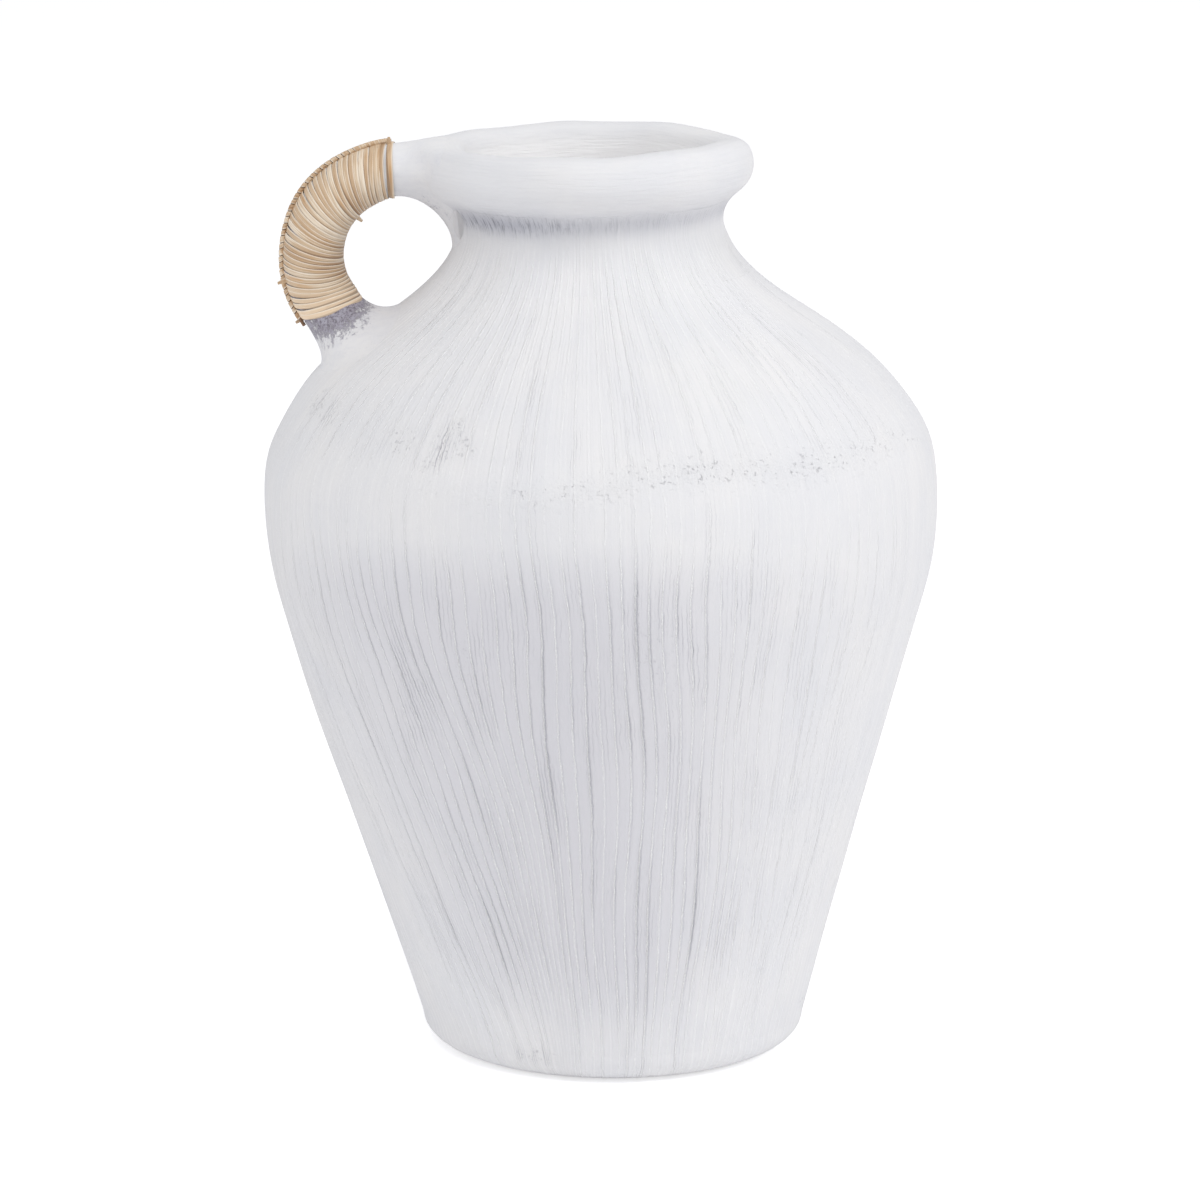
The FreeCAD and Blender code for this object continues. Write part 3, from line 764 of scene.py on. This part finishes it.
leg_at = np.array([bend_length + 4.0])
leg_land, leg_land_way, leg_under = landing(run_at(323.0), -21.0, -28.0, 0.36, 0.42)
leg_way = along_handle(leg_at)[2][:, None] * 26.0
lower_fairing = fairing(
    "lower_fairing", roll_ring(leg_at, fairing_rise), leg_way, (leg_land, leg_land_way * 0.95, leg_under),
    lambda share: ease((0.66 - share) / 0.6) * (0.62 + 0.38 * np.sin(ring - 0.5)),
)
dress(lower_fairing, handle_wash, "whitewashed_clay", "lower_handle_collar")

# ---- The cane binding -----------------------------------------------------------------------------------
# Peeled cane, split flat and wound wet round the roll from the rim end to the leg, in three strands. Each
# turn lies a little over the one before, most where the bow is tight inside.

# Places round the roll are in turns from its outer side, and lengths in millimetres.
turn_count = 39
first_turn = -0.12
cut_turn = 0.035
splices = (11.5, 32.035)
full_slant = 7.4
slanting_turns = 9
binding_start = 0.8
binding_length = bend_length + 6.4 - binding_start
roll_half_height = 12.8
turn_length = 90.0
strip_width = 2.7
strip_thick = 0.5
samples_a_turn = 80
# The strip's section, over its top and back under it: places from edge to edge, and the height at each.
section_across = np.array([-1.0, -0.82, -0.4, 0.0, 0.4, 0.82, 1.0, 0.6, -0.6])
section_height = np.array([0.45, 0.86, 1.0, 1.04, 1.0, 0.86, 0.45, 0.0, 0.0])
strip_share = np.linspace(0, 1, len(section_across))
no_contact = -2.0


def slant_at(turn):
    """How far on the inner side of a turn lies beyond its outer side, in millimetres."""
    return full_slant * np.sin(np.pi / 2 * np.clip(turn / slanting_turns, 0, 1))


def binding_line(turn, rise, push=0.0):
    """The line of the cane over the roll after so many turns from the outer side, at a rise over the clay."""
    angle = 2 * np.pi * turn
    along = binding_start + binding_length * turn / turn_count - slant_at(turn) / 2 * np.cos(angle) + push
    middle, out, on = along_handle(along)
    across = ((half_height(along) + rise) * np.cos(angle))[..., None]
    deep = ((half_depth + rise) * np.sin(angle))[..., None]
    return middle + across * out - deep * side


def unit(vectors):
    return vectors / np.linalg.norm(vectors, axis=-1, keepdims=True)


def strip_points(line, turn, width, thick, tilt):
    """A flat strip swept on a line of turns: each section is a lens, across the line and its normal.

    The section's point is line + s (w / 2) across + (t h(s) + tilt (s + 1) / 2) normal, s running from -1 to
    1 over the top and back under it.
    """
    step = 0.002
    middle = line(turn, 0.0)
    way = unit(line(turn + step, 0.0) - line(turn - step, 0.0))
    normal = unit(line(turn, 1.0) - middle)
    normal = unit(normal - way * np.sum(normal * way, -1, keepdims=True))
    across = np.cross(normal, way)
    wide = (width / 2)[:, None] * section_across
    high = thick[:, None] * section_height + tilt[:, None] * (section_across + 1) / 2
    return middle[:, None] + wide[..., None] * across[:, None] + high[..., None] * normal[:, None]


def cane_marks(across, length, turn, edge, low=0.0, contact=no_contact):
    """What the cane's finish reads at each point: its lay (the place across the strip and along it, and the
    turn), the place from edge to edge, for the painted highlight, how much paler the low turns are, in their
    own tone and as painted light, and where the next turn lies on it, for its painted shadow."""
    none = np.zeros(np.broadcast(across, length, turn, edge).shape)
    lay = np.stack([across + none, length + none, turn + none], -1)
    return {"lay": lay, "edge": edge + none, "low": low + none, "contact": contact + none}


def strand(name, first, last, node):
    """One strand between two cut ends, with its fibres' lay and its own tone for each turn."""
    turn = np.linspace(first, last, int((last - first) * samples_a_turn))
    angle = 2 * np.pi * turn
    spacing = binding_length / turn_count * (1 + roll_half_height / bend_radius * np.cos(angle))
    width = strip_width * (1 + 0.05 * np.sin(turn * 2.3) + 0.03 * np.sin(turn * 7.1))
    width = width * ease((turn - first) / 0.03 + 0.5) * ease((last - turn) / 0.03 + 0.5)
    tilt = strip_thick * 1.05 * np.clip(width / spacing - 0.75, 0, 2)
    thick = np.full_like(turn, strip_thick)
    jitter = 0.2 * np.sin(turn * 5.3 + 1) + 0.17 * np.sin(turn * 11.9) + 0.12 * np.sin(turn * 2.9)
    jitter = jitter - 0.6 * swell(turn, 0.1, 0.6) + 1.3 * swell(turn, 1.3, 0.4) + 0.6 * swell(turn, 2.3, 0.5)

    def line(at, rise):
        return binding_line(at, 0.1 + 0.2 * (at < 0.8) + rise, np.interp(at, turn, jitter))

    points = lean_with_neck(strip_points(line, turn, width, thick, tilt))
    length = np.r_[0, np.cumsum(np.linalg.norm(np.diff(points[:, 3], axis=0), axis=-1))]
    marks = cane_marks(
        strip_share * strip_width, length[:, None] + first * turn_length, turn[:, None], section_across,
        low=ease((turn - 30) / 9)[:, None], contact=(1 - 2 * spacing / strip_width)[:, None],
    )
    piece = mesh_of(name, points, wrap_rows=False, marks=marks, sharp=60)
    dress(piece, cane, "split_cane", node)


def cane_finish():
    """Peeled split cane: pale honey, with fibres along the strip, a tone of its own for each turn, a painted
    highlight on its raised edge, a painted shadow where the next turn lies on it, and the low turns paler, in
    their own tone and with painted light against the shade they face."""
    finish = Finish("split_cane")
    lay = finish.mark("lay", "Vector")
    edge = finish.mark("edge")
    fibres = finish.noise(finish.scaled(lay, (4.0, 0.05, 1.1)), 1, 3, 0.6)
    hairs = finish.noise(finish.scaled(lay, (13.0, 0.16, 2.3)), 1, 2, 0.6)
    turns = finish.noise(finish.scaled(lay, (0.0, 0.0, 1.37)), 1, 2, 0.5)
    stain = finish.noise(finish.scaled(lay, (0.3, 0.05, 1.2)), 1, 3, 0.5).span(0.58, 0.72)
    colour = finish.node(
        "ShaderNodeValToRGB",
        {"stops": [
            (0.3, linear(168, 134, 100)), (0.42, linear(200, 169, 135)), (0.54, linear(213, 188, 157)),
            (0.68, linear(237, 222, 201)),
        ]},
        {"Fac": (fibres * 0.35 + turns * 0.65 - 0.5) * 1.9 + 0.5},
    )
    colour = finish.blend(stain * 0.5, colour, linear(196, 144, 84))
    # The low turns paler: their own tone, and painted light against the shade they face.
    colour = finish.blend(finish.mark("low") * 0.8, colour, linear(252, 226, 194))
    colour = finish.blend(hairs.span(0.58, 0.7) * 0.4, colour, linear(140, 106, 80))
    # A painted highlight along the raised edge.
    colour = finish.blend(edge.span(0.5, 0.85) * 0.6, colour, linear(248, 240, 226))
    # A painted shadow where the next turn lies on the strip.
    joint = (edge - finish.mark("contact")).span(0.4, 0.1)
    colour = finish.blend(joint * (turns.span(0.62, 0.42) * 0.45 + 0.2), colour, linear(112, 84, 64))
    bump = finish.node(
        "ShaderNodeBump", sockets={"Height": fibres * 0.6 + hairs * 0.4, "Strength": 0.6, "Distance": 0.00012}
    )
    return finish.done({"Base Color": colour, "Roughness": 0.52, "Normal": bump})


cane = cane_finish()
strand("binding_upper", first_turn, splices[0], "cane_strand_upper")
strand("binding_middle", splices[0], splices[1], "cane_strand_middle")
strand("binding_lower", splices[1], turn_count - cut_turn, "cane_strand_lower")

# ---- The spine and its hitches --------------------------------------------------------------------------
# A cane with its dark skin on lies along the outer side of the handle, and a thin split hitches each turn
# to it, so a ridge of pale bumps with dark slants between them stands along the bow.

spine_radius = 0.8
spine_wide = spine_radius * 1.3
spine_rise = 1.4
hitch_thick = 0.3
hitch_flat = 1.75
hitch_length = 9.0
hitch_samples_a_turn = 24


def spine_finish():
    """Unpeeled cane: brown skin with lengthwise streaks."""
    finish = Finish("cane_skin")
    lay = finish.mark("lay", "Vector")
    streaks = finish.noise(finish.scaled(lay, (2.0, 2.0, 2.0)), 1, 3, 0.6)
    colour = finish.blend(streaks.span(0.35, 0.65), linear(112, 82, 60), linear(164, 128, 98))
    bump = finish.node("ShaderNodeBump", sockets={"Height": streaks, "Strength": 0.4, "Distance": 0.0001})
    return finish.done({"Base Color": colour, "Roughness": 0.55, "Normal": bump})


skin = spine_finish()
spine_along = np.linspace(0.2, bend_length + 5.5, 90)
middle, out, on = along_handle(spine_along)
around = np.linspace(0, 2 * np.pi, 12, endpoint=False)
spine = lean_with_neck(
    (middle + (half_height(spine_along)[:, None] + spine_rise) * out)[:, None]
    + spine_radius * np.cos(around)[:, None] * out[:, None] - spine_wide * np.sin(around)[:, None] * side
)
spine_piece = mesh_of("spine", spine, wrap_rows=False, marks={"lay": spine})
dress(spine_piece, skin, "cane_spine", "cane_spine")


def hitch_line(turn, rise):
    """The hitching split: once round the spine for each turn of the binding."""
    angle = 2 * np.pi * turn
    along = binding_start + binding_length * turn / turn_count - slant_at(turn) / 2
    middle, out, on = along_handle(along)
    up = ((spine_radius + 0.1 + rise) * np.cos(angle))[..., None]
    round_it = ((spine_wide + 0.15 + rise) * np.sin(angle))[..., None]
    return middle + (half_height(along)[:, None] + spine_rise) * out + up * out + round_it * side


hitch_turn = np.linspace(0.5, turn_count - 0.5, (turn_count - 1) * hitch_samples_a_turn)
hitch_width = 2.3 + 0.45 * np.sin(hitch_turn * 3.7)
hitch = strip_points(
    hitch_line, hitch_turn, hitch_width, np.full_like(hitch_turn, hitch_thick), 0 * hitch_turn
)
hitch_marks = cane_marks(
    strip_share * hitch_flat, (hitch_turn * hitch_length)[:, None], hitch_turn[:, None], section_across
)
hitch_piece = mesh_of("hitches", lean_with_neck(hitch), wrap_rows=False, marks=hitch_marks, sharp=60)
dress(hitch_piece, cane, "cane_spine", "spine_hitches")

# ---- The cut ends ---------------------------------------------------------------------------------------
# Where a strand starts or stops its end was tucked out between two turns and snipped off.

cut_section = np.array([
    (-1, -0.3), (-0.5, -0.42), (0.5, -0.42), (1, -0.3), (1, 0.1), (0.5, 0.22), (-0.5, 0.22), (-1, 0.1),
])


def cut_end(name, turn, node, length, sweep):
    """A tapering strip that curls out of the binding: root + u length out + sweep u^2 onwards."""
    turn = np.array([turn])
    root = binding_line(turn, 0.3)[0]
    out = unit(binding_line(turn, 1.3)[0] - root)
    way = unit(binding_line(turn + 0.01, 0.3)[0] - root)
    across = np.cross(out, way)
    u = np.linspace(0, 1, 10)[:, None]
    middle = root + u * length * out + sweep * u**2 * way
    half_width = (1.2 * (1 - 0.5 * u))[..., None]
    wide, thick = cut_section[:, :1], 0.9 * cut_section[:, 1:]
    points = lean_with_neck(middle[:, None] + half_width * wide * across + thick * way)
    marks = cane_marks(wide[:, 0] + 1, u * length + turn * turn_length, turn, wide[:, 0] * 0.8)
    piece = mesh_of(name, points, wrap_rows=False, marks=marks)
    dress(piece, cane, "split_cane", node)


cut_end("cut_end_top", cut_turn, "cane_tail_top", 3.4, -0.3)
cut_end("cut_end_inner", splices[0], "cane_tail_inner", 3.4, 0.9)
cut_end("cut_end_side", splices[1], "cane_tail_side", 4.2, 1.0)
cut_end("cut_end_low", turn_count - cut_turn, "cane_tail_low", 4.2, 1.2)

# ---- The floor ------------------------------------------------------------------------------------------
# A plain white sweep, large enough to fill the view, that keeps the vase's soft shadow. It glows a little to
# every ray, lighting the vase from below as painted light, and more to the camera so that it reads white.

floor_mesh = bpy.data.meshes.new("floor")
floor_mesh.from_pydata([(-15, -6, 0), (15, -6, 0), (15, 20, 0), (-15, 20, 0)], [], [(0, 1, 2, 3)])
floor = bpy.data.objects.new("floor", floor_mesh)
bpy.context.scene.collection.objects.link(floor)
paper = Finish("white_paper")
seen = paper.node("ShaderNodeLightPath", output="Is Camera Ray")
# The glow: white to the camera, and painted light from below on the vase.
glow_white_and_uplight = paper.node("ShaderNodeEmission", sockets={"Color": (1.0, 1.0, 1.0), "Strength": seen * 0.29 + 0.17})
matt = paper.node("ShaderNodeBsdfDiffuse", sockets={"Color": (0.9, 0.9, 0.91)})
both = paper.node("ShaderNodeAddShader", sockets={0: matt, 1: glow_white_and_uplight})
paper.node("ShaderNodeOutputMaterial", sockets={"Surface": both})
floor_mesh.materials.append(paper.material)

# ---- The light and the view -----------------------------------------------------------------------------
# A white room with three soft windows, the strongest high on the right, and the photograph's long, slightly
# high view.

world = bpy.data.worlds.new("studio")
bpy.context.scene.world = world
world.use_nodes = True
sky = world.node_tree.nodes["Background"]
sky.inputs["Color"].default_value = (0.975, 0.98, 1.0, 1)
sky.inputs["Strength"].default_value = 0.58


def window(name, place, aim, size, power):
    """A square area light at a place, facing a point, in metres and watts."""
    lamp = bpy.data.lights.new(name, "AREA")
    lamp.shape, lamp.size, lamp.energy = "SQUARE", size, power
    holder = bpy.data.objects.new(name, lamp)
    away = np.array(place) - np.array(aim)
    flat = np.hypot(away[0], away[1])
    holder.location = place
    holder.rotation_euler = (np.arctan2(flat, away[2]), 0, np.arctan2(away[0], -away[1]))
    bpy.context.scene.collection.objects.link(holder)


window("key", (2.6, -0.9, 2.1), (0, 0, 0.2), 1.2, 28)
window("top", (-0.3, -1.4, 2.7), (0, 0, 0.3), 1.6, 25)
window("fill", (-3.0, 0.0, 0.9), (0, 0, 0.2), 1.6, 5)

camera_data = bpy.data.cameras.new("camera")
camera_data.lens = 168.19
camera_data.sensor_width = 36
camera = bpy.data.objects.new("camera", camera_data)
camera.location = (0, -2.4691, 0.7197)
camera.rotation_euler = (np.radians(90 - 11.84), 0, 0)
bpy.context.scene.collection.objects.link(camera)
bpy.context.scene.camera = camera
bpy.context.scene.view_settings.view_transform = "Standard"

bpy.context.view_layer.update()
